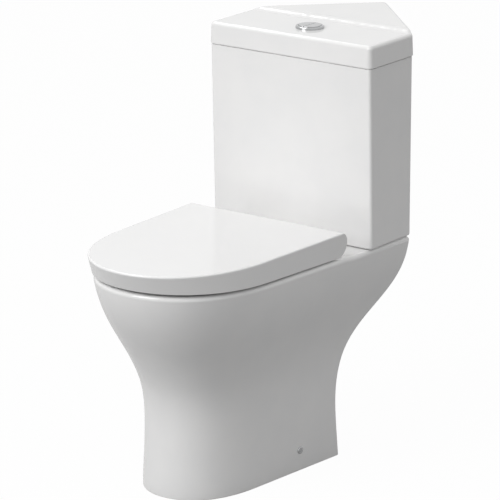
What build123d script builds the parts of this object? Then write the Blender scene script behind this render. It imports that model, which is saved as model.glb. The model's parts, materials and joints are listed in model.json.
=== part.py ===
from build123d import *
import math
import os

# Corner toilet: a close-coupled floor-standing pan with a cistern whose back is a
# right-angled corner, a wrap-over seat, a dual-flush valve and a bottom-entry fill valve.
# Millimetres. X = 0 is the plane of symmetry, -Y is the front, +Z is up, the floor is
# Z = 0, and the origin is below the middle of the whole length.

os.makedirs("parts", exist_ok=True)


# ----------------------------------------------------------------- driving sizes

china = 11.0                # wall of the fired clay

# cistern tank: front face, two side faces and two walls that meet in the room's corner
tank_half = 185.0           # half of the tank's width
tank_side = 139.0           # depth of the side faces
tank_seat_gap = 1.0         # deck to the underside of the tank
tank_height = 353.0         # underside of the tank to its top edge, where the lid sits
tank_lean = 10.4            # the front face leans back by this much at the bottom
tank_floor = 14.0
tank_round = 6.0            # upright edges
tank_apex_round = 14.0      # edge that faces the room's corner
tank_base_round = 5.0
rim_rebate_depth = 3.0       # the tank's top edge is set back a little below the lid
rim_rebate_height = 2.2

# cistern lid
lid_overhang = 2.3
lid_depth = 42.0            # skirt height at the front
lid_step = 5.5              # the corner part of the lid stands higher by this much
lid_step_run = 26.0         # length of the S-shaped ramp up to it
lid_round = 7.0             # top edges
lid_corner_round = 10.0
lid_apex_round = 12.0
lid_edge_round = 0.8        # lower edge, over the tank
lid_draft = 2.5             # degrees, the skirt leans in towards the top
lid_wall = 9.0

# lengths ahead of (-) and behind (+) the cistern's front face
rim_nose = 504.0            # nose of the pan's rim
nose_overhang = 14.0        # the seat cover's nose reaches further by this much
hinge_setback = 85.0        # seat hinge axis
valve_setback = 67.0        # flush valve, flush button and coupling bolts

corner_round_loss = lid_apex_round * (math.sqrt(2) - 1)
corner_reach = tank_side + tank_half + lid_overhang * math.sqrt(2) - corner_round_loss
seat_reach = rim_nose + nose_overhang
front = (seat_reach - corner_reach) / 2      # Y of the cistern's front face

tank_apex = front + tank_side + tank_half

# pan: the foot's outline swells into the rim's outline on the way up
foot_nose = 393.0           # reach of the foot's nose ahead of the cistern
foot_half = 107.5           # half-width at the shoulder, where the nose's curve starts
rim_half = 175.5
foot_curve = 139.0          # length of the nose's curve
rim_curve = 219.0
foot_tail_half = 127.5
deck_tail_half = 188.5
foot_tail = -13.0           # the foot ends this far behind the cistern's front face
deck_tail = 150.0
tail_round = 9.0
pan_loft_margin = 8.8       # the loft is cut off along the rim and the deck, this far below its top
rim_front_rise = 12.2       # above the deck
rim_rear_rise = 3.2
rim_rear_setback = 60.0
deck_height = 411.0
deck_ramp = 30.0
rim_edge_round = 8.0
deck_thickness = 26.0
cut_margin = 20.0           # how far a cut runs past the surface it opens
foot_edge_round = 1.5       # lower edge, at the floor
# share of the height, swell of the sides and nose, reach of the tail
pan_stations = [
    (0.0, 0.031, 0.023),
    (0.1, 0.022, -0.004),
    (0.2, 0.001, -0.020),
    (0.3, -0.007, -0.018),
    (0.4, 0.013, 0.024),
    (0.5, 0.105, 0.119),
    (0.6, 0.285, 0.336),
    (0.7, 0.517, 0.668),
    (0.8, 0.736, 0.891),
    (0.9, 0.888, 0.961),
    (1.0, 0.980, 0.992),
]

# bowl: height from the deck, front edge, rear edge (ahead of the cistern's front), half-width
bowl_stations = [
    (26.0, 463.0, 165.0, 133.0),
    (-26.0, 461.0, 168.0, 130.0),
    (-81.0, 446.0, 190.0, 115.0),
    (-131.0, 424.0, 216.0, 95.0),
    (-181.0, 392.0, 238.0, 70.0),
    (-226.0, 348.0, 245.0, 46.0),
]
bowl_edge_round = 7.0

# trap: from the sump up over the weir and down to the outlet spigot
trap_radius = 38.0
sump_depth = 261.0          # below the deck
sump_setback = 285.0
trap_rise_setback = 240.0
weir_setback = 140.0
weir_depth = 87.0           # corner of the centre line, above the rounded crest
trap_fall_setback = 50.0
outlet_height = 180.0
outlet_end = 75.0
outlet_radius = 51.0
outlet_length = 55.0
trap_bends = (70.0, 50.0, 70.0)

# flush inlet in the deck and the channel from it to the back of the bowl
inlet_recess_radius = 54.0
inlet_recess_depth = 14.0
inlet_radius = 34.0
channel_half = 32.0
channel_depth = 31.0        # top of the channel below the deck
channel_height = 26.0
channel_wall = 9.0
channel_mouth = 195.0

# holes in the china
seat_hole_pitch = 155.0
seat_hole_radius = 6.0
coupling_pitch = 150.0
coupling_hole_radius = 5.5
side_hole_setback = 127.5
side_hole_height = 40.4
side_hole_radius = 4.0
wall_hole_height = 238.0    # middle of the two, above the underside of the tank
wall_hole_radius = 4.0
wall_hole_pitch = 50.0      # two holes in each wall, one above the other
wall_hole_inset = 95.0      # along the corner walls, from the side edge
wall_washer_bore = 3.25
wall_washer_radius = 10.0
wall_washer = 4.0
wall_seal = 3.0             # between the washer and the china
wall_seal_bore = 4.5

# seat cover and ring
cover_rise = 22.2           # top of the cover above the hinge axis
cover_wall = 5.0
cover_round = 3.0
hinge_rise = 32.0           # hinge axis above the deck
hinge_round = 25.0          # the cover's rear edge is rolled about the hinge axis
cover_skirt_gap = 7.0       # rim to the skirt's lower edge at the nose
cover_nose_overhang = 0.484  # the skirt leans out by this much per height
cover_side_overhang = 0.085
cover_side_setback = 4.1    # from the rim's half-width, at the shoulder
cover_flare = 8.6           # the cover is wider at its tail by this much on each side
cover_curve = 215.0
ring_gap = 5.0              # bumper height, rim to ring
ring_thickness = 19.0
ring_inset = 5.0            # clearance inside the cover's skirt
ring_rear_setback = 113.0
ring_open_front = 428.0
ring_open_rear = 168.0
ring_open_half = 110.0
ring_top_round = 6.0
pin_radius = 4.0
pin_fit = 0.05
bush_radius = 8.0
knuckle_radius = 12.0
post_half_width = 11.0
post_half_depth = 8.0
post_base_radius = 15.0
hinge_pad_thickness = 3.3
post_base_thickness = 3.0
hinge_side_gap = 1.5        # the slots in the cover clear the posts by this much
cover_knuckle_width = 24.0
ring_knuckle_width = 28.0
hinge_slot_rise = 17.0
pin_end_gap = 1.0

# flush button
lid_hole_radius = 24.4
bezel_radius = 27.4
bezel_height = 5.0
bezel_barrel = 30.0
bezel_wall = 2.0
bezel_floor = 3.0
button_gap = 0.6
button_proud = 1.0
button_thickness = 11.5
button_travel = 6.0
rod_radius = 3.5
rod_tip_round = 2.0
spring_radius = 5.4
spring_wire = 0.5
spring_wire_sides = 8
spring_turns = 4
full_rod = (12.0, -6.0)     # from the valve's axis
half_rod = (-12.0, 8.0)

# flush valve
shank_radius = 31.0
shank_bore = 25.0
shank_below = 25.0          # the shank ends this far below the tank
valve_flange_radius = 42.0
valve_flange = 6.0
seal_ring = 3.0
seat_lip = 7.0              # the shank's upper end stands above its flange
cage_radius = 41.0
cage_wall = 4.0
cage_height = 67.0
tower_radius = 27.0
tower_wall = 4.0
tower_height = 274.0        # these heights are above the underside of the tank
head_plate = 6.0
head_radius = 33.0
overflow_radius = 15.0
overflow_wall = 2.5
overflow_height = 250.0
disc_radius = 30.5
disc_thickness = 5.0
hook_reach = 38.0
hook_thickness = 3.0
lever_pivot_x = -2.0
lever_pin_radius = 2.5
lever_rise = 26.0           # pivot above the head plate
lever_left = 31.0
lever_right = 20.0
lever_half_width = 5.0
lever_half_height = 4.0
ear_thickness = 4.0
ear_gap = 1.0               # between a pivot's ears and the arm in them
rod_free_play = 2.5

# fill valve
float_wall_gap = 23.44      # along X, float to the tank's inner wall
fill_setback = 180.0
fill_thread_radius = 10.48
fill_shank_radius = 11.0    # above the thread, through the tank's floor
inlet_length = 30.0         # thread below the back nut
fill_hole_radius = 12.0
fill_flange_radius = 19.0
fill_flange = 5.0
riser_radius = 9.0
riser_height = 280.0        # above the underside of the tank
fill_head_radius = 22.0
fill_head_height = 40.0
float_radius = 30.0
float_bore = 12.0
float_rest_height = 180.0   # above the underside of the tank
float_height = 62.0
arm_reach = 48.0
arm_pivot_offset = 10.0
arm_half_width = 4.0
arm_thickness = 6.0
arm_gap = 1.0
link_radius = 2.5
arm_pin_radius = 2.25

# fixings
bolt_radius = 4.0
rubber_washer = 4.0
washer = 2.0
nut_height = 8.0
bracket_plate = 4.0
bracket_foot = 42.0
bracket_half_length = 20.0
bracket_height = 60.0
bracket_fit = 1.0
floor_hole_radius = 3.5
side_screw_radius = 3.0
side_screw_length = 30.0
cap_radius = 7.0
cap_height = 2.0
cap_round = 1.5
cap_seat_gap = 0.2          # cap to the curved wall
bumper_radius = 8.0
bumper_setbacks = (180.0, 380.0)
bumper_gap = 1.0            # cover bumper to ring


# -------------------------------------------------- heights that follow from those above

deck_underside = deck_height - deck_thickness
rim_front_height = deck_height + rim_front_rise
rim_rear_height = deck_height + rim_rear_rise
pan_loft_top = rim_front_height + pan_loft_margin
sump_height = deck_height - sump_depth
weir_height = deck_height - weir_depth
channel_high = deck_height - channel_depth
channel_low = channel_high - channel_height
tank_base = deck_height + tank_seat_gap
tank_rim = tank_base + tank_height
hinge_height = deck_height + hinge_rise
cover_top = hinge_height + cover_rise
cover_skirt_front = rim_front_height + cover_skirt_gap
cover_half = rim_half - cover_side_setback
cover_tail_half = cover_half + cover_flare
cover_loft_base = rim_rear_height - cut_margin
shank_end = tank_base - shank_below
tower_top = tank_base + tower_height
overflow_top = tank_base + overflow_height
fill_shank_end = tank_base - nut_height - inlet_length
riser_top = tank_base + riser_height
float_low = tank_base + float_rest_height


# --------------------------------------------------------------------- helpers

def save(piece, name):
    """Label one finished piece and write it out."""
    piece.label = name
    export_step(piece, "parts/" + name + ".step")


def mix(low, high, share):
    """A value that goes from low to high as share goes from 0 to 1."""
    return low + (high - low) * share


def d_outline(nose, shoulder, half, tail, tail_half, fullness, corner):
    """Closed outline with a rounded nose, flared straight sides and a flat tail."""
    flare = (tail_half - half) / (tail - shoulder)
    reach = fullness[1] * (shoulder - nose)
    corner_start = (tail_half - flare * corner, tail - corner)
    with BuildSketch() as outline:
        with BuildLine():
            Bezier((0, nose), (fullness[0] * half, nose),
                   (half - flare * reach, shoulder - reach), (half, shoulder))
            Line((half, shoulder), corner_start)
            Bezier(corner_start, (tail_half, tail), (tail_half - corner, tail))
            Line((tail_half - corner, tail), (0, tail))
            mirror(about=Plane.YZ)
        make_face()
    return outline.sketch


def pan_outline(swell, tail_share, inset=0.0, tail_extra=0.0):
    """Outline of the pan at one height, or of its hollow with an inset."""
    nose = front - mix(foot_nose, rim_nose, swell)
    curve = mix(foot_curve, rim_curve, swell)
    return d_outline(
        nose=nose + inset,
        shoulder=nose + curve,
        half=mix(foot_half, rim_half, swell) - inset,
        tail=front + mix(foot_tail, deck_tail, tail_share) + tail_extra,
        tail_half=mix(foot_tail_half, deck_tail_half, swell) - inset,
        fullness=(mix(0.45, 0.56, swell), mix(0.76, 0.67, swell)),
        corner=tail_round,
    )


def corner_outline(front_y, half, apex_y, corner=0.0, apex=0.0):
    """Outline with a straight front, two sides and two walls at 45 degrees to an apex."""
    with BuildSketch() as outline:
        with BuildLine():
            Polyline((-half, front_y), (half, front_y), (half, apex_y - half), (0, apex_y),
                     (-half, apex_y - half), close=True)
        make_face()
        if corner:
            fillet(vertices().sort_by(Axis.Y)[:-1], corner)
            fillet(vertices().sort_by(Axis.Y)[-1], apex)
    return outline.sketch


def tank_front(height):
    """Y of the tank's front face, which leans back towards the bottom."""
    return front + tank_lean * (tank_rim - height) / (tank_rim - tank_base)


def cover_outline(height, inset):
    """Outline of the seat cover's skirt at one height."""
    drop = cover_top - height
    lean = math.hypot(1, cover_nose_overhang)
    edge_loss = cover_round * (cover_nose_overhang + lean - 1)
    nose = front - seat_reach - edge_loss + cover_nose_overhang * drop + inset
    shoulder = front - seat_reach + cover_curve
    return d_outline(
        nose=nose,
        shoulder=shoulder,
        half=cover_half - inset,
        tail=front - hinge_setback + 2 * hinge_round,
        tail_half=cover_tail_half - cover_side_overhang * drop - inset,
        fullness=(0.53, 0.65),
        corner=tail_round,
    )


def rim_height_at(y):
    """Height of the sloping rim at a place along Y."""
    nose = front - rim_nose
    rear = front - rim_rear_setback
    return mix(rim_front_height, rim_rear_height, (y - nose) / (rear - nose))


# ------------------------------------------------------------------------- pan

hinge_y = front - hinge_setback
valve_y = front + valve_setback
post_base = rim_height_at(hinge_y) + hinge_pad_thickness
rim_slope = math.degrees(math.atan2(rim_front_height - rim_rear_height,
                                    rim_nose - rim_rear_setback))
sides = (-1, 1)

# space above the rim and the deck
with BuildPart() as above_rim:
    with BuildSketch(Plane.YZ):
        with BuildLine():
            rear = front - rim_rear_setback
            far_nose = front - rim_nose - cut_margin
            rim_tail = (rear, rim_rear_height)
            deck_start = (rear + deck_ramp, deck_height)
            deck_end = (front + deck_tail + cut_margin, deck_height)
            ceiling = tank_rim
            Line((far_nose, rim_height_at(far_nose)), rim_tail)
            Bezier(rim_tail, (rear + deck_ramp / 3, rim_height_at(rear + deck_ramp / 3)),
                   (rear + deck_ramp * 2 / 3, deck_height), deck_start)
            Line(deck_start, deck_end)
            Polyline(deck_end, (deck_end[0], ceiling), (far_nose, ceiling),
                     (far_nose, rim_height_at(far_nose)))
        make_face()
    extrude(amount=2 * deck_tail_half, both=True)

# the bowl's space and, thicker by the china's wall, its body
def bowl(extra):
    """The bowl's space down to the sump, larger by extra on every side."""
    with BuildPart() as shape:
        for rise, ahead, behind, half in bowl_stations:
            with BuildSketch(Plane.XY.offset(deck_height + rise)):
                with Locations((0, front - (ahead + behind) / 2)):
                    Ellipse(half + extra, (ahead - behind) / 2 + extra)
        with BuildSketch(Plane.XY.offset(sump_height)):
            with Locations((0, front - sump_setback)):
                Ellipse(trap_radius + extra, trap_radius + extra - 0.01)
        loft()
        with Locations((0, front - sump_setback, sump_height)):
            Sphere(trap_radius + extra)
    return shape.part


def trap(extra):
    """The passage from the sump over the weir to the outlet, larger by extra."""
    with BuildPart() as shape:
        with BuildLine():
            FilletPolyline(
                (0, front - sump_setback, sump_height),
                (0, front - trap_rise_setback, sump_height),
                (0, front - weir_setback, weir_height),
                (0, front - trap_fall_setback, outlet_height),
                (0, front + outlet_end, outlet_height),
                radius=list(trap_bends),
            )
        with BuildSketch(Plane.XZ.offset(-(front - sump_setback))):
            with Locations((0, sump_height)):
                Circle(trap_radius + extra)
        sweep()
    return shape.part


def channel(extra):
    """The way from the flush inlet forward to the back of the bowl, larger by extra."""
    length = valve_setback + channel_mouth + inlet_radius + extra
    middle = (channel_low + channel_high) / 2
    with BuildPart() as shape:
        with Locations((0, front - channel_mouth + length / 2, middle)):
            Box(2 * (channel_half + extra), length, channel_high - channel_low + 2 * extra)
    return shape.part


# the hollow under the rim and the deck, open to the floor and to the back
with BuildPart() as hollow:
    for share, swell, tail_share in pan_stations:
        with BuildSketch(Plane.XY.offset(share * pan_loft_top)):
            add(pan_outline(swell, tail_share, inset=china, tail_extra=cut_margin))
    loft()
    with BuildSketch():
        add(pan_outline(pan_stations[0][1], pan_stations[0][2], china, cut_margin))
    extrude(amount=-cut_margin)
    split(bisect_by=Plane.XY.offset(deck_underside), keep=Keep.BOTTOM)
    add(bowl(china), mode=Mode.SUBTRACT)
    add(trap(china), mode=Mode.SUBTRACT)
    add(channel(channel_wall), mode=Mode.SUBTRACT)

with BuildPart() as pan:
    for share, swell, tail_share in pan_stations:
        with BuildSketch(Plane.XY.offset(share * pan_loft_top)):
            add(pan_outline(swell, tail_share))
    loft()
    add(above_rim.part, mode=Mode.SUBTRACT)
    across = edges(Select.LAST).filter_by(Axis.X)
    fillet(edges(Select.LAST) - across.filter_by(lambda edge: edge.length > rim_half), rim_edge_round)
    fillet(faces().sort_by(Axis.Z)[0].outer_wire().edges(), foot_edge_round)
    add(hollow.part, mode=Mode.SUBTRACT)
    add(trap(china))
    with BuildSketch(Plane.XZ.offset(-(front + outlet_end))):
        with Locations((0, outlet_height)):
            Circle(outlet_radius)
    extrude(amount=outlet_length)
    add(bowl(0), mode=Mode.SUBTRACT)
    fillet(edges(Select.LAST).sort_by(Axis.Z)[-1], bowl_edge_round)
    add(trap(0), mode=Mode.SUBTRACT)
    add(channel(0), mode=Mode.SUBTRACT)
    with Locations((0, valve_y, deck_height)):
        CounterBoreHole(inlet_radius, inlet_recess_radius, inlet_recess_depth,
                        deck_height - channel_low)
    for side in sides:
        with Locations((side * coupling_pitch / 2, valve_y, deck_height)):
            Hole(coupling_hole_radius, 2 * (deck_height - deck_underside))
        with Locations((side * seat_hole_pitch / 2, hinge_y, rim_front_height)):
            Hole(seat_hole_radius, 2 * (rim_front_height - deck_underside))
        with Locations(Plane((side * deck_tail_half, front - side_hole_setback, side_hole_height),
                             z_dir=(side, 0, 0))):
            Hole(side_hole_radius, deck_tail_half - foot_half / 2)
save(pan.part, "pan")


# --------------------------------------------------------------------- cistern

wall_x = tank_half - wall_hole_inset / math.sqrt(2)
wall_y = front + tank_side + wall_hole_inset / math.sqrt(2)
wall_hole_heights = [tank_base + wall_hole_height + step * wall_hole_pitch / 2 for step in sides]
fill_y = front + fill_setback
fill_x = (fill_setback + china * math.sqrt(2) + float_radius + float_wall_gap
          - tank_half - tank_side)


def tank_body(bottom, inset):
    """The tank from a height up to its top edge or, with an inset, its hollow."""
    apex_y = tank_apex - inset * math.sqrt(2)
    front_edge = tank_front(tank_rim) + inset
    with BuildPart() as body:
        with BuildSketch(Plane.XY.offset(bottom)):
            add(corner_outline(front_edge, tank_half - inset, apex_y))
        extrude(amount=tank_rim - bottom)
        with BuildSketch(Plane.YZ):
            Polygon((tank_front(bottom) + inset, bottom), (front_edge, tank_rim),
                    (apex_y, tank_rim), (apex_y, bottom), align=None)
        extrude(amount=tank_half, both=True, mode=Mode.INTERSECT)
        upright = edges().filter_by(lambda edge: abs(edge.tangent_at(0.5).Z) > 0.9).sort_by(Axis.Y)
        fillet(upright[:-1], tank_round)
        fillet(edges().filter_by(Axis.Z).sort_by(Axis.Y)[-1], tank_apex_round)
    return body.part


with BuildPart() as cistern_tank:
    add(tank_body(tank_base, 0))
    fillet(faces().sort_by(Axis.Z)[0].outer_wire().edges(), tank_base_round)
    with BuildSketch(Plane.XY.offset(tank_rim)):
        add(corner_outline(front - lid_overhang, tank_half + lid_overhang,
                           tank_apex + lid_overhang * math.sqrt(2)))
        add(corner_outline(front + rim_rebate_depth, tank_half - rim_rebate_depth,
                           tank_apex - rim_rebate_depth * math.sqrt(2),
                           tank_round, tank_apex_round), mode=Mode.SUBTRACT)
    extrude(amount=-rim_rebate_height, mode=Mode.SUBTRACT)
    add(tank_body(tank_base + tank_floor, china), mode=Mode.SUBTRACT)
    with Locations((0, valve_y, tank_base + tank_floor)):
        Hole(shank_radius + pin_fit, 2 * tank_floor)
    with Locations((fill_x, fill_y, tank_base + tank_floor)):
        Hole(fill_hole_radius, 2 * tank_floor)
    for side in sides:
        with Locations((side * coupling_pitch / 2, valve_y, tank_base + tank_floor)):
            Hole(coupling_hole_radius, 2 * tank_floor)
        for height in wall_hole_heights:
            with Locations(Plane((side * wall_x, wall_y, height), z_dir=(side, 1, 0))):
                Hole(wall_hole_radius, 2 * china)
save(cistern_tank.part, "cistern_tank")


def wall_rings(bore, depth, thickness, name):
    """Rings round the screws that hold the tank to the room's walls, at a depth in it."""
    with BuildPart() as rings:
        for side in sides:
            for height in wall_hole_heights:
                outer_face = Plane((side * wall_x, wall_y, height), z_dir=(-side, -1, 0))
                with BuildSketch(outer_face.offset(depth)):
                    Circle(wall_washer_radius)
                    Circle(bore, mode=Mode.SUBTRACT)
                extrude(amount=thickness)
    save(rings.part, name)


wall_rings(wall_seal_bore, china, wall_seal, "wall_fixing_seals")
wall_rings(wall_washer_bore, china + wall_seal, wall_washer, "wall_fixing_washers")

# lid: the flat front carries the button, the corner part stands a step higher
lid_front = front - lid_overhang
lid_half = tank_half + lid_overhang
lid_apex = tank_apex + lid_overhang * math.sqrt(2)
lid_top = tank_rim + lid_depth
step_y = front + tank_side + lid_overhang / math.sqrt(2)

with BuildPart() as above_lid:
    with BuildSketch(Plane.YZ):
        with BuildLine():
            ramp_start = (step_y - lid_step_run / 2, lid_top)
            ramp_end = (step_y + lid_step_run / 2, lid_top + lid_step)
            far_front = lid_front - lid_depth
            far_back = lid_apex + lid_depth
            ceiling = lid_top + lid_depth
            Line((far_front, lid_top), ramp_start)
            Bezier(ramp_start, (step_y, lid_top), (step_y, lid_top + lid_step), ramp_end)
            Polyline(ramp_end, (far_back, lid_top + lid_step), (far_back, ceiling),
                     (far_front, ceiling), (far_front, lid_top))
        make_face()
    extrude(amount=2 * lid_half, both=True)

with BuildPart() as cistern_lid:
    with BuildSketch(Plane.XY.offset(tank_rim)):
        add(corner_outline(lid_front, lid_half, lid_apex, lid_corner_round, lid_apex_round))
    extrude(amount=lid_depth + 2 * lid_step, taper=lid_draft)
    add(above_lid.part, mode=Mode.SUBTRACT)
    top_edges = edges(Select.LAST).filter_by(
        lambda e: not (e.bounding_box().size.X > 2 * lid_half - 2 * lid_corner_round
                       and e.center().Y > front + lid_overhang))
    fillet(top_edges, lid_round)
    fillet(faces().sort_by(Axis.Z)[0].outer_wire().edges(), lid_edge_round)
    with BuildSketch(Plane.XY.offset(tank_rim)):
        add(corner_outline(lid_front + lid_wall, lid_half - lid_wall,
                           lid_apex - lid_wall * math.sqrt(2), tank_round, lid_apex_round))
    extrude(amount=lid_depth - lid_wall, mode=Mode.SUBTRACT)
    with Locations((0, valve_y, lid_top)):
        Hole(lid_hole_radius, 2 * lid_wall)
save(cistern_lid.part, "cistern_lid")


# ------------------------------------------------------------------------ seat

# widths along the hinge axis, from and to: slot in the cover, then the two knuckles
slot_start = seat_hole_pitch / 2 - post_base_radius - hinge_side_gap
cover_knuckle_end = slot_start - 2 * hinge_side_gap
cover_knuckle = (cover_knuckle_end - cover_knuckle_width, cover_knuckle_end)
ring_knuckle_start = seat_hole_pitch / 2 + post_half_width + 3 * hinge_side_gap
ring_knuckle = (ring_knuckle_start, ring_knuckle_start + ring_knuckle_width)
hinge_slot = (slot_start, ring_knuckle[1] + 2 * hinge_side_gap)
rim_plane = Plane(origin=(0, hinge_y, rim_height_at(hinge_y)), x_dir=(1, 0, 0),
                  z_dir=(0, math.sin(math.radians(rim_slope)), math.cos(math.radians(rim_slope))))


def side_profile(roll, top, underside):
    """The cover seen from the side, extruded across the whole width."""
    top_y = hinge_y + math.sqrt(roll ** 2 - (top - hinge_height) ** 2)
    low = hinge_height - roll
    far = underside[0][0]
    with BuildPart() as shape:
        with BuildSketch(Plane.YZ):
            with BuildLine():
                ThreePointArc((hinge_y, low), (hinge_y + roll, hinge_height), (top_y, top))
                Polyline((top_y, top), (far, top), *underside, (hinge_y, low))
            make_face()
        extrude(amount=2 * cover_tail_half, both=True)
    return shape.part


def hinge_cylinder(radius, span, side):
    """A round bar on the hinge axis from span[0] to span[1] on one side."""
    with BuildPart() as bar:
        with BuildSketch(Plane.YZ.offset(side * span[0])):
            with Locations((hinge_y, hinge_height)):
                Circle(radius)
        extrude(amount=side * (span[1] - span[0]))
    return bar.part


cover_far = front - seat_reach - hinge_round
inner_roll = hinge_round - cover_wall
inner_top = cover_top - cover_wall

with BuildPart() as cover_inside:
    for height in (cover_loft_base - cover_wall, cover_top):
        with BuildSketch(Plane.XY.offset(height)):
            add(cover_outline(height, cover_wall))
    loft(ruled=True)
    underside = [(cover_far, cover_loft_base), (hinge_y, cover_loft_base)]
    add(side_profile(inner_roll, inner_top, underside), mode=Mode.INTERSECT)

with BuildPart() as seat_cover:
    for height in (cover_loft_base, cover_top):
        with BuildSketch(Plane.XY.offset(height)):
            add(cover_outline(height, 0))
    loft(ruled=True)
    add(side_profile(hinge_round, cover_top, [(cover_far, cover_skirt_front)]),
        mode=Mode.INTERSECT)
    fillet(faces().sort_by(Axis.Z)[-1].outer_wire().edges(), cover_round)
    add(cover_inside.part, mode=Mode.SUBTRACT)
    for side in sides:
        slot_middle = side * (hinge_slot[0] + hinge_slot[1]) / 2
        with Locations((slot_middle, hinge_y, hinge_height + hinge_slot_rise)):
            Box(hinge_slot[1] - hinge_slot[0], 2 * hinge_round, 2 * hinge_round,
                align=(Align.CENTER, Align.MIN, Align.MAX), mode=Mode.SUBTRACT)
        add(hinge_cylinder(knuckle_radius, cover_knuckle, side))
        knuckle_middle = side * (cover_knuckle[0] + cover_knuckle[1]) / 2
        with Locations((knuckle_middle, hinge_y, hinge_height)):
            Box(cover_knuckle[1] - cover_knuckle[0], 2 * knuckle_radius,
                inner_top - hinge_height, align=(Align.CENTER, Align.CENTER, Align.MIN))
        add(hinge_cylinder(bush_radius, cover_knuckle, side), mode=Mode.SUBTRACT)
save(seat_cover.part, "seat_cover")

ring_front = front - seat_reach + cover_nose_overhang * (cover_top - rim_front_height)
ring_skin = cover_wall + ring_inset

with BuildPart() as seat_ring:
    with BuildSketch(rim_plane.offset(ring_gap)):
        with Locations((0, -hinge_y)):
            add(d_outline(
                nose=ring_front + ring_skin,
                shoulder=front - seat_reach + cover_curve,
                half=cover_half - ring_skin,
                tail=front - ring_rear_setback,
                tail_half=cover_tail_half - cover_side_overhang * hinge_round * 2 - ring_skin,
                fullness=(0.53, 0.65),
                corner=tail_round,
            ))
    extrude(amount=ring_thickness)
    ring_middle = front - (ring_open_front + ring_open_rear) / 2
    with BuildSketch(rim_plane):
        with Locations((0, ring_middle - hinge_y)):
            Ellipse(ring_open_half, (ring_open_front - ring_open_rear) / 2)
    extrude(amount=2 * ring_thickness, mode=Mode.SUBTRACT)
    fillet(faces().sort_by(Axis.Z)[-1].edges(), ring_top_round)
    for side in sides:
        add(hinge_cylinder(knuckle_radius, ring_knuckle, side))
        knuckle_middle = side * (ring_knuckle[0] + ring_knuckle[1]) / 2
        arm_length = ring_rear_setback - hinge_setback + tail_round
        with Locations((knuckle_middle, hinge_y, hinge_height)):
            Box(ring_knuckle[1] - ring_knuckle[0], arm_length, knuckle_radius,
                align=(Align.CENTER, Align.MAX, Align.MAX))
        add(hinge_cylinder(bush_radius, ring_knuckle, side), mode=Mode.SUBTRACT)
save(seat_ring.part, "seat_ring")


def bush(span, side):
    """A sleeve in a knuckle that turns on the hinge pin."""
    with BuildPart() as sleeve:
        add(hinge_cylinder(bush_radius, span, side))
        add(hinge_cylinder(pin_radius + pin_fit, span, side), mode=Mode.SUBTRACT)
    return sleeve.part


# one knuckle of each pair holds a damper, the other a plain bush
for name, span, side in (("cover_damper", cover_knuckle, -1), ("cover_hinge_bush", cover_knuckle, 1),
                         ("seat_damper", ring_knuckle, 1), ("seat_hinge_bush", ring_knuckle, -1)):
    save(bush(span, side), name)

with BuildPart() as hinge_pins:
    for side in sides:
        add(hinge_cylinder(pin_radius, (cover_knuckle[0] - pin_end_gap,
                                        ring_knuckle[1] + pin_end_gap), side))
save(hinge_pins.part, "hinge_pins")

with BuildPart() as hinge_posts:
    for side in sides:
        post_x = side * seat_hole_pitch / 2
        with Locations((post_x, hinge_y, post_base)):
            Cylinder(post_base_radius, post_base_thickness,
                     align=(Align.CENTER, Align.CENTER, Align.MIN))
            Box(2 * post_half_width, 2 * post_half_depth, hinge_height - post_base,
                align=(Align.CENTER, Align.CENTER, Align.MIN))
        post_span = (seat_hole_pitch / 2 - post_half_width, seat_hole_pitch / 2 + post_half_width)
        add(hinge_cylinder(post_half_depth, post_span, side))
        add(hinge_cylinder(pin_radius, post_span, side), mode=Mode.SUBTRACT)
save(hinge_posts.part, "hinge_posts")


def upright(radius, bottom, top, bore=0.0):
    """A round bar or, with a bore, a tube that stands at the current locations."""
    with BuildPart() as bar:
        Cylinder(radius, top - bottom, align=(Align.CENTER, Align.CENTER, Align.MIN))
        if bore:
            Cylinder(bore, top - bottom, align=(Align.CENTER, Align.CENTER, Align.MIN),
                     mode=Mode.SUBTRACT)
    return bar.part


with BuildPart() as hinge_pads:
    for side in sides:
        with Locations((side * seat_hole_pitch / 2, hinge_y, deck_height)):
            add(upright(post_base_radius, deck_height, post_base, bolt_radius))
    add(above_rim.part, mode=Mode.INTERSECT)
save(hinge_pads.part, "hinge_pads")


# studs, washers and nuts that clamp the seat to the rim from below
stud_end = deck_underside - rubber_washer - washer - nut_height - bolt_radius
with BuildPart() as seat_studs:
    with Locations(*[(side * seat_hole_pitch / 2, hinge_y, stud_end) for side in sides]):
        add(upright(bolt_radius, stud_end, post_base))
save(seat_studs.part, "seat_studs")

with BuildPart() as seat_fixing_washers:
    seat_washer_low = deck_underside - rubber_washer
    with Locations(*[(side * seat_hole_pitch / 2, hinge_y, seat_washer_low) for side in sides]):
        add(upright(post_base_radius, seat_washer_low, deck_underside, bolt_radius))
save(seat_fixing_washers.part, "seat_fixing_washers")


def wing_nuts(pitch, y, top, name):
    """A pair of wing nuts below a clamped ledge."""
    with BuildPart() as nuts:
        with BuildSketch(Plane.XY.offset(top - nut_height)):
            with Locations(*[(side * pitch / 2, y) for side in sides]):
                RegularPolygon(2 * bolt_radius, 6)
                SlotOverall(8 * bolt_radius, bolt_radius)
                Circle(bolt_radius, mode=Mode.SUBTRACT)
        extrude(amount=nut_height)
    save(nuts.part, name)


wing_nuts(seat_hole_pitch, hinge_y, seat_washer_low, "seat_wing_nuts")

# bumpers: four under the ring, four under the cover
ring_bumper_places = [(side * (cover_half - ring_skin + ring_open_half) / 2, y)
                      for side in sides for y in (front - bumper_setbacks[0], front - bumper_setbacks[1])]
with BuildPart() as ring_bumpers:
    for x, y in ring_bumper_places:
        with BuildSketch(rim_plane):
            with Locations((x, y - hinge_y)):
                Circle(bumper_radius)
        extrude(amount=ring_gap)
save(ring_bumpers.part, "ring_bumpers")

with BuildPart() as cover_bumpers:
    for x, y in ring_bumper_places:
        ring_surface = rim_height_at(y) + ring_gap + ring_thickness + bumper_gap
        with Locations((x, y, ring_surface)):
            add(upright(bumper_radius, ring_surface, inner_top))
save(cover_bumpers.part, "cover_bumpers")

# ---------------------------------------------------------------- flush button

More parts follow.
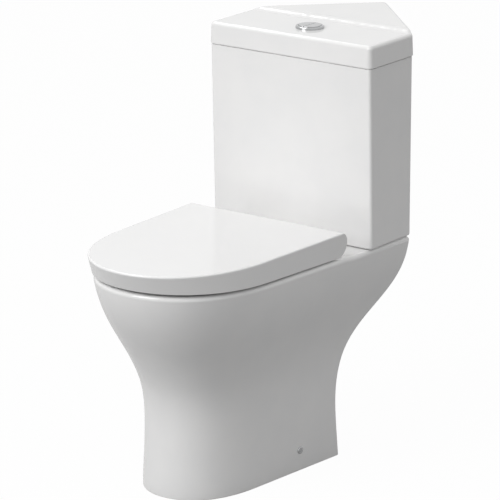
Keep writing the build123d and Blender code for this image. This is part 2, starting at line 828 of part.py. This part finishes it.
full_rod_at = (full_rod[0], valve_y + full_rod[1])
half_rod_at = (half_rod[0], valve_y + half_rod[1])
button_bottom = lid_top + bezel_height + button_proud - button_thickness
bezel_bottom = lid_top - bezel_barrel
button_radius = lid_hole_radius - bezel_wall - 2 * pin_fit - button_gap

with BuildPart() as button_bezel:
    with Locations((0, valve_y, bezel_bottom)):
        add(upright(lid_hole_radius - pin_fit, bezel_bottom, lid_top))
    with Locations((0, valve_y, lid_top)):
        add(upright(bezel_radius, lid_top, lid_top + bezel_height))
    fillet(edges().filter_by(GeomType.CIRCLE).group_by(Axis.Z)[-1], bezel_height / 2)
    with Locations((0, valve_y, bezel_bottom + bezel_floor)):
        add(upright(button_radius + button_gap, bezel_bottom, lid_top + 2 * bezel_height),
            mode=Mode.SUBTRACT)
    for x, y in (full_rod_at, half_rod_at):
        with Locations((x, y, bezel_bottom)):
            Hole(rod_radius + button_gap, 2 * bezel_floor)
save(button_bezel.part, "button_bezel")


def half_button(side):
    """One half of the divided push button, with its upper edge rounded."""
    with BuildPart() as half:
        with BuildSketch(Plane.XY.offset(button_bottom)):
            with Locations((0, valve_y)):
                Circle(button_radius)
            with Locations((-side * button_gap, valve_y)):
                Rectangle(2 * button_radius, 2 * button_radius,
                          align=(Align.MIN if side < 0 else Align.MAX, Align.CENTER),
                          mode=Mode.SUBTRACT)
            with Locations((0, valve_y)):
                Rectangle(2 * button_gap, 2 * button_radius, mode=Mode.SUBTRACT)
        extrude(amount=button_thickness)
        fillet(faces().sort_by(Axis.Z)[-1].edges(), button_proud)
    return half.part


save(half_button(1), "full_flush_button")
save(half_button(-1), "half_flush_button")

with BuildPart() as button_locknut:
    nut_top = lid_top - lid_wall
    with BuildSketch(Plane.XY.offset(nut_top - nut_height)):
        with Locations((0, valve_y)):
            Circle(lid_hole_radius + nut_height)
            Circle(lid_hole_radius, mode=Mode.SUBTRACT)
    extrude(amount=nut_height)
save(button_locknut.part, "button_locknut")

head_top = tower_top + head_plate
pivot_height = head_top + lever_rise
lever_top = pivot_height + lever_half_height
rod_bottom = lever_top + rod_free_play
for name, (x, y) in (("full_flush_rod", full_rod_at), ("half_flush_rod", half_rod_at)):
    with BuildPart() as rod:
        with Locations((x, y, rod_bottom)):
            add(upright(rod_radius, rod_bottom, button_bottom))
        fillet(faces().sort_by(Axis.Z)[0].edges(), rod_tip_round)
    save(rod.part, name)

spring_low = bezel_bottom + bezel_floor
for name, (x, y) in (("full_button_spring", full_rod_at), ("half_button_spring", half_rod_at)):
    spring_length = button_bottom - spring_low - 2 * spring_wire
    with BuildPart() as spring:
        with BuildLine() as coil:
            Helix(spring_length / spring_turns, spring_length, spring_radius - spring_wire,
                  center=(x, y, spring_low + spring_wire))
        with BuildSketch(Plane(origin=coil.line @ 0, z_dir=coil.line % 0)):
            RegularPolygon(spring_wire, spring_wire_sides)
        sweep(is_frenet=True)
    save(spring.part, name)

# ----------------------------------------------------------------- flush valve

floor_top = tank_base + tank_floor
flange_low = floor_top + seal_ring
flange_top = flange_low + valve_flange
seat_top = flange_top + seat_lip

with BuildPart() as flush_valve_base:
    with Locations((0, valve_y, shank_end)):
        add(upright(shank_radius, shank_end, seat_top))
    with Locations((0, valve_y, flange_low)):
        add(upright(valve_flange_radius, flange_low, flange_top))
    with Locations((0, valve_y, seat_top)):
        Hole(shank_bore, seat_top - shank_end)
save(flush_valve_base.part, "flush_valve_base")

with BuildPart() as flush_valve_washer:
    with Locations((0, valve_y, floor_top)):
        add(upright(valve_flange_radius, floor_top, flange_low, shank_radius))
save(flush_valve_washer.part, "flush_valve_washer")

with BuildPart() as flush_valve_backnut:
    with BuildSketch(Plane.XY.offset(tank_base - nut_height - washer)):
        with Locations((0, valve_y)):
            Circle(valve_flange_radius)
            Circle(shank_radius, mode=Mode.SUBTRACT)
    extrude(amount=nut_height + washer)
save(flush_valve_backnut.part, "flush_valve_backnut")

doughnut_low = deck_height - inlet_recess_depth
with BuildPart() as doughnut_washer:
    with Locations((0, valve_y, doughnut_low)):
        add(upright(inlet_recess_radius - washer, doughnut_low, tank_base,
                    valve_flange_radius))
save(doughnut_washer.part, "doughnut_washer")

cage_top = flange_top + cage_height
lever_y = valve_y + full_rod[1]
with BuildPart() as flush_valve_tower:
    with Locations((0, valve_y, flange_top)):
        add(upright(cage_radius, flange_top, cage_top, cage_radius - cage_wall))
    for turn in (0, 1):
        with Locations(Location((0, valve_y, flange_top), (0, 0, 45 + 90 * turn))):
            Box(3 * cage_radius, cage_radius, cage_height - 3 * cage_wall,
                align=(Align.CENTER, Align.CENTER, Align.MIN), mode=Mode.SUBTRACT)
    with Locations((0, valve_y, cage_top)):
        add(upright(cage_radius, cage_top, cage_top + cage_wall, tower_radius - tower_wall))
        add(upright(tower_radius, cage_top, tower_top, tower_radius - tower_wall))
    # slot that the lifting arm travels in
    slot_low = overflow_top - 3 * cage_wall
    with Locations((-tower_radius, lever_y, slot_low)):
        Box(2 * tower_wall + 2 * lever_half_width, 3 * lever_half_width, tower_top - slot_low,
            align=(Align.CENTER, Align.CENTER, Align.MIN), mode=Mode.SUBTRACT)
save(flush_valve_tower.part, "flush_valve_tower")

ear_offset = lever_half_width + ear_gap + ear_thickness / 2
with BuildPart() as flush_valve_head:
    with Locations((0, valve_y, tower_top)):
        add(upright(head_radius, tower_top, head_top))
    for side in sides:
        with Locations((lever_pivot_x, lever_y + side * ear_offset, head_top)):
            Box(4 * lever_pin_radius, ear_thickness, lever_rise + 2 * lever_pin_radius,
                align=(Align.CENTER, Align.CENTER, Align.MIN))
    with BuildSketch(Plane.XZ.offset(-lever_y)):
        with Locations((lever_pivot_x, pivot_height)):
            Circle(lever_pin_radius)
    extrude(amount=cage_radius, both=True, mode=Mode.SUBTRACT)
save(flush_valve_head.part, "flush_valve_head")


def cross_pin(x, y, height, radius, half_length):
    """A pin along Y through a pivot."""
    with BuildPart() as bar:
        with BuildSketch(Plane.XZ.offset(-y)):
            with Locations((x, height)):
                Circle(radius)
        extrude(amount=half_length, both=True)
    return bar.part


save(cross_pin(lever_pivot_x, lever_y, pivot_height, lever_pin_radius, ear_offset + ear_thickness),
     "lift_lever_pin")

with BuildPart() as lift_lever:
    with Locations((lever_pivot_x, lever_y, pivot_height)):
        Box(lever_left, 2 * lever_half_width, 2 * lever_half_height,
            align=(Align.MAX, Align.CENTER, Align.CENTER))
        Box(lever_right, 2 * lever_half_width, 2 * lever_half_height,
            align=(Align.MIN, Align.CENTER, Align.CENTER))
    add(cross_pin(lever_pivot_x, lever_y, pivot_height, lever_pin_radius + pin_fit,
                  cage_radius), mode=Mode.SUBTRACT)
save(lift_lever.part, "lift_lever")

disc_low = seat_top + seal_ring
hook_low = lever_top + rod_free_play
arm_low = overflow_top - 2 * hook_thickness
with BuildPart() as overflow_tube:
    with Locations((0, valve_y, disc_low)):
        add(upright(disc_radius, disc_low, disc_low + disc_thickness))
        add(upright(overflow_radius, disc_low, overflow_top))
    with Locations((0, lever_y, arm_low)):
        Box(hook_reach, 2 * lever_half_width, 2 * hook_thickness,
            align=(Align.MAX, Align.CENTER, Align.MIN))
    with Locations((-hook_reach, lever_y, arm_low)):
        Box(hook_thickness, 2 * lever_half_width, hook_low + 2 * hook_thickness - arm_low,
            align=(Align.MIN, Align.CENTER, Align.MIN))
    with Locations((-hook_reach, lever_y, hook_low)):
        Box(hook_reach - tower_radius + hook_thickness, 2 * lever_half_width,
            2 * hook_thickness, align=(Align.MIN, Align.CENTER, Align.MIN))
    with Locations((0, valve_y, overflow_top)):
        Hole(overflow_radius - overflow_wall, overflow_top - disc_low)
save(overflow_tube.part, "overflow_tube")

with BuildPart() as flush_seal:
    with Locations((0, valve_y, seat_top)):
        add(upright(disc_radius, seat_top, disc_low, overflow_radius))
save(flush_seal.part, "flush_seal")

# ------------------------------------------------------------------ fill valve

fill_flange_low = floor_top + seal_ring
fill_flange_top = fill_flange_low + fill_flange
fill_head_top = riser_top + fill_head_height
pivot_x = fill_x - arm_pivot_offset
arm_end_x = pivot_x + arm_reach
arm_low_height = fill_head_top + arm_gap
arm_middle = arm_low_height + arm_thickness / 2
arm_ear_offset = arm_half_width + ear_gap + ear_thickness / 2

with BuildPart() as fill_valve:
    with Locations((fill_x, fill_y, fill_shank_end)):
        add(upright(fill_thread_radius, fill_shank_end, tank_base))
    with Locations((fill_x, fill_y, tank_base - nut_height)):
        add(upright(fill_shank_radius, tank_base - nut_height, fill_flange_top))
    with Locations((fill_x, fill_y, fill_flange_low)):
        add(upright(fill_flange_radius, fill_flange_low, fill_flange_top))
    with Locations((fill_x, fill_y, fill_flange_top)):
        add(upright(riser_radius, fill_flange_top, riser_top))
    with Locations((fill_x, fill_y, riser_top)):
        add(upright(fill_head_radius, riser_top, fill_head_top))
    for side in sides:
        with Locations((pivot_x, fill_y + side * arm_ear_offset, fill_head_top)):
            Box(4 * arm_pin_radius, ear_thickness, arm_thickness + arm_gap,
                align=(Align.CENTER, Align.CENTER, Align.MIN))
    add(cross_pin(pivot_x, fill_y, arm_middle, arm_pin_radius, fill_head_radius),
        mode=Mode.SUBTRACT)
    with Locations((fill_x, fill_y, fill_shank_end)):
        add(upright(fill_thread_radius / 2, fill_shank_end, riser_top), mode=Mode.SUBTRACT)
save(fill_valve.part, "fill_valve")
save(cross_pin(pivot_x, fill_y, arm_middle, arm_pin_radius, arm_ear_offset + ear_thickness),
     "float_arm_pin")

with BuildPart() as float_arm:
    with Locations((pivot_x - arm_half_width, fill_y, arm_low_height)):
        Box(arm_reach + 2 * arm_half_width, 2 * arm_half_width, arm_thickness,
            align=(Align.MIN, Align.CENTER, Align.MIN))
    add(cross_pin(pivot_x, fill_y, arm_middle, arm_pin_radius + pin_fit, fill_head_radius),
        mode=Mode.SUBTRACT)
save(float_arm.part, "float_arm")

with BuildPart() as float_cup:
    with Locations((fill_x, fill_y, float_low)):
        add(upright(float_radius, float_low, float_low + float_height))
    with Locations((arm_end_x, fill_y, float_low + float_height)):
        add(upright(2 * link_radius, float_low, float_low + 2 * link_radius))
        Box(arm_end_x - fill_x, 3 * link_radius, 2 * link_radius,
            align=(Align.MAX, Align.CENTER, Align.MIN))
    with Locations((fill_x, fill_y, float_low)):
        add(upright(float_bore, float_low, float_low + float_height + float_radius),
            mode=Mode.SUBTRACT)
save(float_cup.part, "float_cup")

with BuildPart() as float_link:
    link_low = float_low + float_height + 2 * link_radius
    with Locations((arm_end_x, fill_y, link_low)):
        add(upright(link_radius, link_low, arm_low_height - arm_gap))
save(float_link.part, "float_link")

with BuildPart() as fill_valve_washer:
    with Locations((fill_x, fill_y, floor_top)):
        add(upright(fill_flange_radius, floor_top, fill_flange_low, fill_shank_radius))
save(fill_valve_washer.part, "fill_valve_washer")

with BuildPart() as fill_valve_backnut:
    with BuildSketch(Plane.XY.offset(tank_base - nut_height)):
        with Locations((fill_x, fill_y)):
            RegularPolygon(fill_flange_radius, 6)
            Circle(fill_shank_radius, mode=Mode.SUBTRACT)
    extrude(amount=nut_height)
save(fill_valve_backnut.part, "fill_valve_backnut")

# -------------------------------------------------------------------- coupling

coupling_places = [(side * coupling_pitch / 2, valve_y) for side in sides]
bolt_head_low = floor_top + rubber_washer + washer
bolt_end = deck_underside - rubber_washer - washer - nut_height - 3 * bolt_radius


def ring_pair(places, outer, bottom, top, inner, name):
    """The same washer at each place."""
    with BuildPart() as pair:
        with BuildSketch(Plane.XY.offset(bottom)):
            with Locations(*places):
                Circle(outer)
                Circle(inner, mode=Mode.SUBTRACT)
        extrude(amount=top - bottom)
    save(pair.part, name)


with BuildPart() as coupling_bolts:
    with BuildSketch(Plane.XY.offset(bolt_end)):
        with Locations(*coupling_places):
            Circle(bolt_radius)
    extrude(amount=bolt_head_low - bolt_end)
    with BuildSketch(Plane.XY.offset(bolt_head_low)):
        with Locations(*coupling_places):
            RegularPolygon(2 * bolt_radius, 6)
    extrude(amount=1.5 * bolt_radius)
save(coupling_bolts.part, "coupling_bolts")

ring_pair(coupling_places, 3 * bolt_radius, floor_top, floor_top + rubber_washer, bolt_radius,
          "tank_bolt_seals")
ring_pair(coupling_places, 3 * bolt_radius, floor_top + rubber_washer, bolt_head_low, bolt_radius,
          "tank_bolt_washers")
ring_pair(coupling_places, 3 * bolt_radius, deck_underside - rubber_washer, deck_underside,
          bolt_radius, "deck_bolt_seals")
ring_pair(coupling_places, 3 * bolt_radius, deck_underside - rubber_washer - washer,
          deck_underside - rubber_washer, bolt_radius, "deck_bolt_washers")
wing_nuts(coupling_pitch, valve_y, deck_underside - rubber_washer - washer,
          "coupling_wing_nuts")

# ---------------------------------------------------------------- floor fixing

side_hole_y = front - side_hole_setback


def foot_wall(y, height):
    """The stretch that the foot's side wall takes along X at one place."""
    line = Edge.make_line((0, y, height), (deck_tail_half, y, height))
    return pan.part.intersect(line)[0].bounding_box()


# places on the wall round the cap, and from them the way that the wall faces there
cap_ahead = foot_wall(side_hole_y - cap_radius, side_hole_height).max
cap_behind = foot_wall(side_hole_y + cap_radius, side_hole_height).max
cap_below = foot_wall(side_hole_y + cap_radius, side_hole_height - cap_radius).max
cap_above = foot_wall(side_hole_y + cap_radius, side_hole_height + cap_radius).max
wall_outside = (cap_ahead.X + cap_behind.X) / 2
cap_facing = (cap_behind - cap_ahead).cross(cap_above - cap_below)
# the wall leans in towards the front, so the upright clears it there
upright_outside = foot_wall(side_hole_y - bracket_half_length, bracket_height).min.X - bracket_fit

with BuildPart() as floor_brackets:
    for side in sides:
        with Locations((side * upright_outside, side_hole_y, 0)):
            Box(bracket_plate, 2 * bracket_half_length, bracket_height,
                align=(Align.MAX if side > 0 else Align.MIN, Align.CENTER, Align.MIN))
            Box(bracket_foot, 2 * bracket_half_length, bracket_plate,
                align=(Align.MAX if side > 0 else Align.MIN, Align.CENTER, Align.MIN))
        with Locations((side * (upright_outside - bracket_foot / 2), side_hole_y, bracket_plate)):
            Hole(floor_hole_radius, 2 * bracket_plate)
        with Locations(Plane((side * upright_outside, side_hole_y, side_hole_height),
                             z_dir=(side, 0, 0))):
            Hole(side_screw_radius, 2 * bracket_plate)
save(floor_brackets.part, "floor_brackets")


with BuildPart() as side_screws:
    for side in sides:
        screw_head = side * (wall_outside - cap_seat_gap)
        with Locations(Plane((screw_head, side_hole_y, side_hole_height), z_dir=(-side, 0, 0))):
            Cylinder(side_screw_radius, side_screw_length,
                     align=(Align.CENTER, Align.CENTER, Align.MIN))
save(side_screws.part, "side_screws")

# domed caps that lie on the wall over the screws
with BuildPart() as screw_caps:
    with BuildSketch(Plane((wall_outside, side_hole_y, side_hole_height),
                           z_dir=cap_facing).offset(cap_seat_gap)):
        Circle(cap_radius)
    extrude(amount=cap_height)
    fillet(faces().sort_by(Axis.X)[-1].edges(), cap_round)
    mirror(about=Plane.YZ)
save(screw_caps.part, "screw_caps")
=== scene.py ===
import json
import math

import bpy
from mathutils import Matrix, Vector

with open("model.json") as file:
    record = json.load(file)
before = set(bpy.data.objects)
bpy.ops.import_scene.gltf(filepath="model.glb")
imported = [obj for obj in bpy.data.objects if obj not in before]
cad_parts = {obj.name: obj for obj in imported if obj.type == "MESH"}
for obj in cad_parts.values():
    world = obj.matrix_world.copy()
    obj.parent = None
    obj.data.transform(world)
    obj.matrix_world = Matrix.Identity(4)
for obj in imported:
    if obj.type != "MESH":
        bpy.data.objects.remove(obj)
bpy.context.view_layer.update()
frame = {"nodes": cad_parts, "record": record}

# ------------------------------------------------------------------- camera and light

CAMERA_PLACE = (3.7020, -5.0665, 2.2550)
CAMERA_AZIMUTH = 36.298          # degrees, seen from the right of the front
CAMERA_ELEVATION = 16.408
LENS = 249.46                    # mm
SENSOR_WIDTH = 36                # mm

SKY_LIGHT = 0.61                 # diffuse light from all round; 1 is white
LAMP_TARGET = (0, 0, 0.42)
# name, place, width and height, watts, whether it lights matt surfaces or only shines in gloss
LAMPS = [
    ("key", (-1.05, -3.92, 2.58), (2.2, 2.2), 67.0, True),
    ("high", (-0.77, -2.86, 3.94), (2.2, 2.2), 40.0, True),
    ("edge", (-1.71, 0.21, 2.88), (2.8, 0.6), 17.0, False),
]

FLOOR_REACH = 30.0
FLOOR_BOUNCE_GREY = 130          # what the floor throws back at the object
FLOOR_SEEN_GREY = 235            # what shows of it, with the object's shadow
FLOOR_GLOW = 0.97                # the rest of what the camera sees is white
FLOOR_GLOW_IN_GLOSS = 0.0        # the same in reflections


def linear(grey):
    """The linear value of an sRGB grey from 0 to 255."""
    share = grey / 255
    return share / 12.92 if share <= 0.04045 else ((share + 0.055) / 1.055) ** 2.4


def grey_colour(grey, tint=0.0):
    """An opaque colour of one sRGB grey; a positive tint is warmer."""
    return (linear(grey + tint), linear(grey), linear(grey - tint), 1)


def add_camera():
    data = bpy.data.cameras.new("camera")
    data.lens = LENS
    data.sensor_width = SENSOR_WIDTH
    data.clip_end = 100
    camera = bpy.data.objects.new("camera", data)
    bpy.context.scene.collection.objects.link(camera)
    camera.location = CAMERA_PLACE
    camera.rotation_euler = (math.radians(90 - CAMERA_ELEVATION), 0, math.radians(CAMERA_AZIMUTH))
    bpy.context.scene.camera = camera


def add_lamp(name, place, size, power, lights_matt):
    """A softbox that looks at the object."""
    data = bpy.data.lights.new(name, "AREA")
    data.shape = "RECTANGLE"
    data.size, data.size_y = size
    data.energy = power
    lamp = bpy.data.objects.new(name, data)
    lamp.visible_diffuse = lights_matt
    bpy.context.scene.collection.objects.link(lamp)
    lamp.location = place
    lamp.rotation_euler = (Vector(LAMP_TARGET) - Vector(place)).to_track_quat("-Z", "Y").to_euler()


class Nodes:
    """Adds nodes to one tree; an input is given a value or the socket that feeds it."""

    def __init__(self, tree):
        self.tree = tree

    def add(self, kind, inputs=None, **settings):
        node = self.tree.nodes.new("ShaderNode" + kind)
        for key, value in settings.items():
            setattr(node, key, value)
        for key, value in (inputs or {}).items():
            if isinstance(value, bpy.types.NodeSocket):
                self.tree.links.new(value, node.inputs[key])
            else:
                node.inputs[key].default_value = value
        return node

    def math(self, operation, first, second, clamp=False):
        return self.add("Math", {0: first, 1: second}, operation=operation,
                        use_clamp=clamp).outputs[0]

    def ramp(self, factor, low, high, start=0.0, end=1.0):
        """A value or a colour that goes from low to high as factor goes from start to end."""
        node = self.add("MapRange", {"Value": factor, "From Min": start, "From Max": end,
                                     "To Min": low, "To Max": high}, clamp=True)
        return node.outputs[0]

    def mix(self, factor, first, second):
        node = self.add("Mix", {"Factor": factor}, data_type="RGBA")
        for name, value in (("A", first), ("B", second)):
            socket = next(s for s in node.inputs if s.name == name and s.type == "RGBA")
            if isinstance(value, bpy.types.NodeSocket):
                self.tree.links.new(value, socket)
            else:
                socket.default_value = value
        return next(s for s in node.outputs if s.type == "RGBA")


def add_world():
    """White to the camera and in reflections, a plain even light on the surfaces."""
    world = bpy.data.worlds.new("studio")
    bpy.context.scene.world = world
    world.use_nodes = True
    world.node_tree.nodes.clear()
    make = Nodes(world.node_tree)
    path = make.add("LightPath").outputs
    seen = make.math("MAXIMUM", path["Is Camera Ray"], path["Is Glossy Ray"])
    seen = make.math("MAXIMUM", seen, path["Is Transmission Ray"])
    lit = make.add("Background", {"Color": (1, 1, 1, 1), "Strength": SKY_LIGHT})
    white = make.add("Background", {"Color": (1, 1, 1, 1), "Strength": 1.0})
    both = make.add("MixShader", {0: seen, 1: lit.outputs[0], 2: white.outputs[0]})
    make.add("OutputWorld", {"Surface": both.outputs[0]})


def add_floor():
    """A plain pale floor: white to the camera, apart from the object's shadow."""
    mesh = bpy.data.meshes.new("floor")
    mesh.from_pydata([(-FLOOR_REACH, -FLOOR_REACH, 0), (FLOOR_REACH, -FLOOR_REACH, 0),
                      (FLOOR_REACH, FLOOR_REACH, 0), (-FLOOR_REACH, FLOOR_REACH, 0)],
                     [], [(0, 1, 2, 3)])
    floor = bpy.data.objects.new("floor", mesh)
    bpy.context.scene.collection.objects.link(floor)
    made = bpy.data.materials.new("floor")
    made.use_nodes = True
    made.node_tree.nodes.clear()
    make = Nodes(made.node_tree)
    path = make.add("LightPath").outputs
    through = make.math("MAXIMUM", path["Is Glossy Ray"], path["Is Transmission Ray"])
    seen = make.math("MAXIMUM", path["Is Camera Ray"], through)
    colour = make.mix(seen, grey_colour(FLOOR_BOUNCE_GREY), grey_colour(FLOOR_SEEN_GREY))
    matt = make.add("BsdfDiffuse", {"Color": colour})
    white = make.add("Emission", {"Color": (1, 1, 1, 1), "Strength": 1.0})
    camera = make.math("MULTIPLY", path["Is Camera Ray"], FLOOR_GLOW)
    gloss = make.math("MULTIPLY", through, FLOOR_GLOW_IN_GLOSS)
    share = make.math("MAXIMUM", camera, gloss)
    both = make.add("MixShader", {0: share, 1: matt.outputs[0], 2: white.outputs[0]})
    make.add("OutputMaterial", {"Surface": both.outputs[0]})
    mesh.materials.append(made)


add_camera()
add_world()
for lamp in LAMPS:
    add_lamp(*lamp)
add_floor()

# -------------------------------------------------------------------------- materials

NOISE_SPREAD = (0.3, 0.7)        # where most of a noise lies, between 0 and 1
DARK_FLOOR_BAND = 0.0012               # height of the darker, rougher band along the floor
DARK_FLOOR_BAND_FADE = 0.0020          # above this the band has faded out
DARK_FLOOR_BAND_WAVE = 0.0012          # the band's top wanders by up to this much
DARK_FLOOR_BAND_ROUGHNESS = 0.8


def start_material(name):
    """A new material: its node maker, and the place on the object as coordinates."""
    made = bpy.data.materials.new(name)
    made.use_nodes = True
    made.node_tree.nodes.clear()
    make = Nodes(made.node_tree)
    place = make.add("TexCoord").outputs["Object"]
    return made, make, place


def noise(make, place, scale, detail=2.0, stretch=(1, 1, 1)):
    """Noise from 0 to 1; scale is features per metre, larger stretch means finer along it."""
    if stretch != (1, 1, 1):
        place = make.add("Mapping", {"Vector": place, "Scale": stretch}).outputs[0]
    return make.add("TexNoise", {"Vector": place, "Scale": scale, "Detail": detail}).outputs[0]


def finish_material(made, make, colour, roughness, heights, **shader):
    """Joins it up. heights is a list of (noise, depth in metres) that the surface waves by."""
    normal = None
    for height, depth in heights:
        inputs = {"Height": height, "Distance": depth, "Strength": 1.0}
        if normal is not None:
            inputs["Normal"] = normal
        normal = make.add("Bump", inputs).outputs[0]
    inputs = {"Base Color": colour, "Roughness": roughness}
    if normal is not None:
        inputs["Normal"] = normal
    inputs.update({key.replace("_", " "): value for key, value in shader.items()})
    bsdf = make.add("BsdfPrincipled", inputs)
    make.add("OutputMaterial", {"Surface": bsdf.outputs[0]})
    return made


def glazed_china():
    """White glaze, gently uneven, darker, warmer and rougher in a thin band along the floor."""
    made, make, place = start_material("glazed_china")
    broad = noise(make, place, 5.0)
    cloud = noise(make, place, 14.0, 3.0)
    pits = noise(make, place, 160.0, 2.0)
    glaze = make.mix(make.ramp(cloud, 0, 1, *NOISE_SPREAD), grey_colour(244, 0.6), grey_colour(241, 0.2))
    # a thin band along the floor gets a darker, warmer grey and a higher roughness than the glaze
    height = make.add("SeparateXYZ", {0: place}).outputs["Z"]
    line = make.math("ADD", height, make.math("MULTIPLY", cloud, DARK_FLOOR_BAND_WAVE))
    dark_band = make.ramp(line, 1, 0, DARK_FLOOR_BAND, DARK_FLOOR_BAND_FADE)
    colour = make.mix(dark_band, glaze, grey_colour(214, 8))
    smooth = make.ramp(pits, 0.025, 0.05, *NOISE_SPREAD)
    roughness = make.math("MAXIMUM", smooth, make.math("MULTIPLY", dark_band, DARK_FLOOR_BAND_ROUGHNESS))
    return finish_material(made, make, colour, roughness,
                           [(broad, 0.0005), (pits, 0.000004)], IOR=1.6)


def seat_plastic():
    """Pressed gloss plastic of the seat: flatter and slightly softer than the glaze."""
    made, make, place = start_material("seat_plastic")
    broad = noise(make, place, 4.0)
    cloud = noise(make, place, 25.0, 3.0)
    grain = noise(make, place, 900.0, 1.0)
    colour = make.mix(cloud, grey_colour(245, 0.4), grey_colour(243, 0.2))
    roughness = make.ramp(cloud, 0.10, 0.15, *NOISE_SPREAD)
    return finish_material(made, make, colour, roughness,
                           [(broad, 0.0006), (grain, 0.000002)], IOR=1.49)


def chrome():
    """Chrome plate on the button and the screw caps: bright, with fine wiping marks."""
    made, make, place = start_material("chrome")
    smear = noise(make, place, 120.0, 3.0)
    scratch = noise(make, place, 700.0, 2.0, stretch=(1, 6, 1))
    colour = make.mix(smear, grey_colour(190, -1), grey_colour(164, -1))
    roughness = make.ramp(scratch, 0.08, 0.18, 0.35, 0.7)
    return finish_material(made, make, colour, roughness, [(smear, 0.00002)], Metallic=1.0)


def plated_steel():
    """Zinc-plated steel of bolts, washers and brackets: satin, with a faint bloom."""
    made, make, place = start_material("plated_steel")
    bloom = noise(make, place, 180.0, 4.0)
    grain = noise(make, place, 1500.0, 2.0, stretch=(1, 1, 5))
    colour = make.mix(bloom, grey_colour(188, -2), grey_colour(160, 3))
    roughness = make.ramp(grain, 0.24, 0.46, *NOISE_SPREAD)
    return finish_material(made, make, colour, roughness, [(grain, 0.00001)], Metallic=1.0)


def moulded_plastic(name, grey, tint):
    """Moulded valve plastic: satin, with a fine grain and faint flow marks."""
    made, make, place = start_material(name)
    flow = noise(make, place, 40.0, 3.0, stretch=(1, 1, 4))
    grain = noise(make, place, 2200.0, 1.0)
    colour = make.mix(flow, grey_colour(grey, tint), grey_colour(grey - 8, tint))
    roughness = make.ramp(flow, 0.38, 0.52, *NOISE_SPREAD)
    return finish_material(made, make, colour, roughness, [(grain, 0.00002)], IOR=1.5)


def rubber(name, grey, roughness_low):
    """Soft moulded rubber: matt, with a dusty bloom."""
    made, make, place = start_material(name)
    dust = noise(make, place, 120.0, 4.0)
    grain = noise(make, place, 1800.0, 2.0)
    colour = make.mix(make.ramp(dust, 0, 1, 0.4, 0.8), grey_colour(grey), grey_colour(grey + 16, 1))
    roughness = make.ramp(dust, roughness_low, roughness_low + 0.15, *NOISE_SPREAD)
    return finish_material(made, make, colour, roughness, [(grain, 0.00004)], IOR=1.52)


FINISHES = {
    "white_china": glazed_china(),
    "white_seat_plastic": seat_plastic(),
    "chrome_plastic": chrome(),
    "steel": plated_steel(),
    "white_valve_plastic": moulded_plastic("white_valve_plastic", 232, 1),
    "grey_valve_plastic": moulded_plastic("grey_valve_plastic", 176, -2),
    "black_rubber": rubber("black_rubber", 38, 0.55),
    "pale_bumper_rubber": rubber("pale_bumper_rubber", 214, 0.4),
}

for part in frame["record"]["subparts"]:
    for slot in frame["nodes"][part["node"]].material_slots:
        slot.material = FINISHES[part["material_slot"]]

bpy.context.scene.view_settings.view_transform = "Standard"
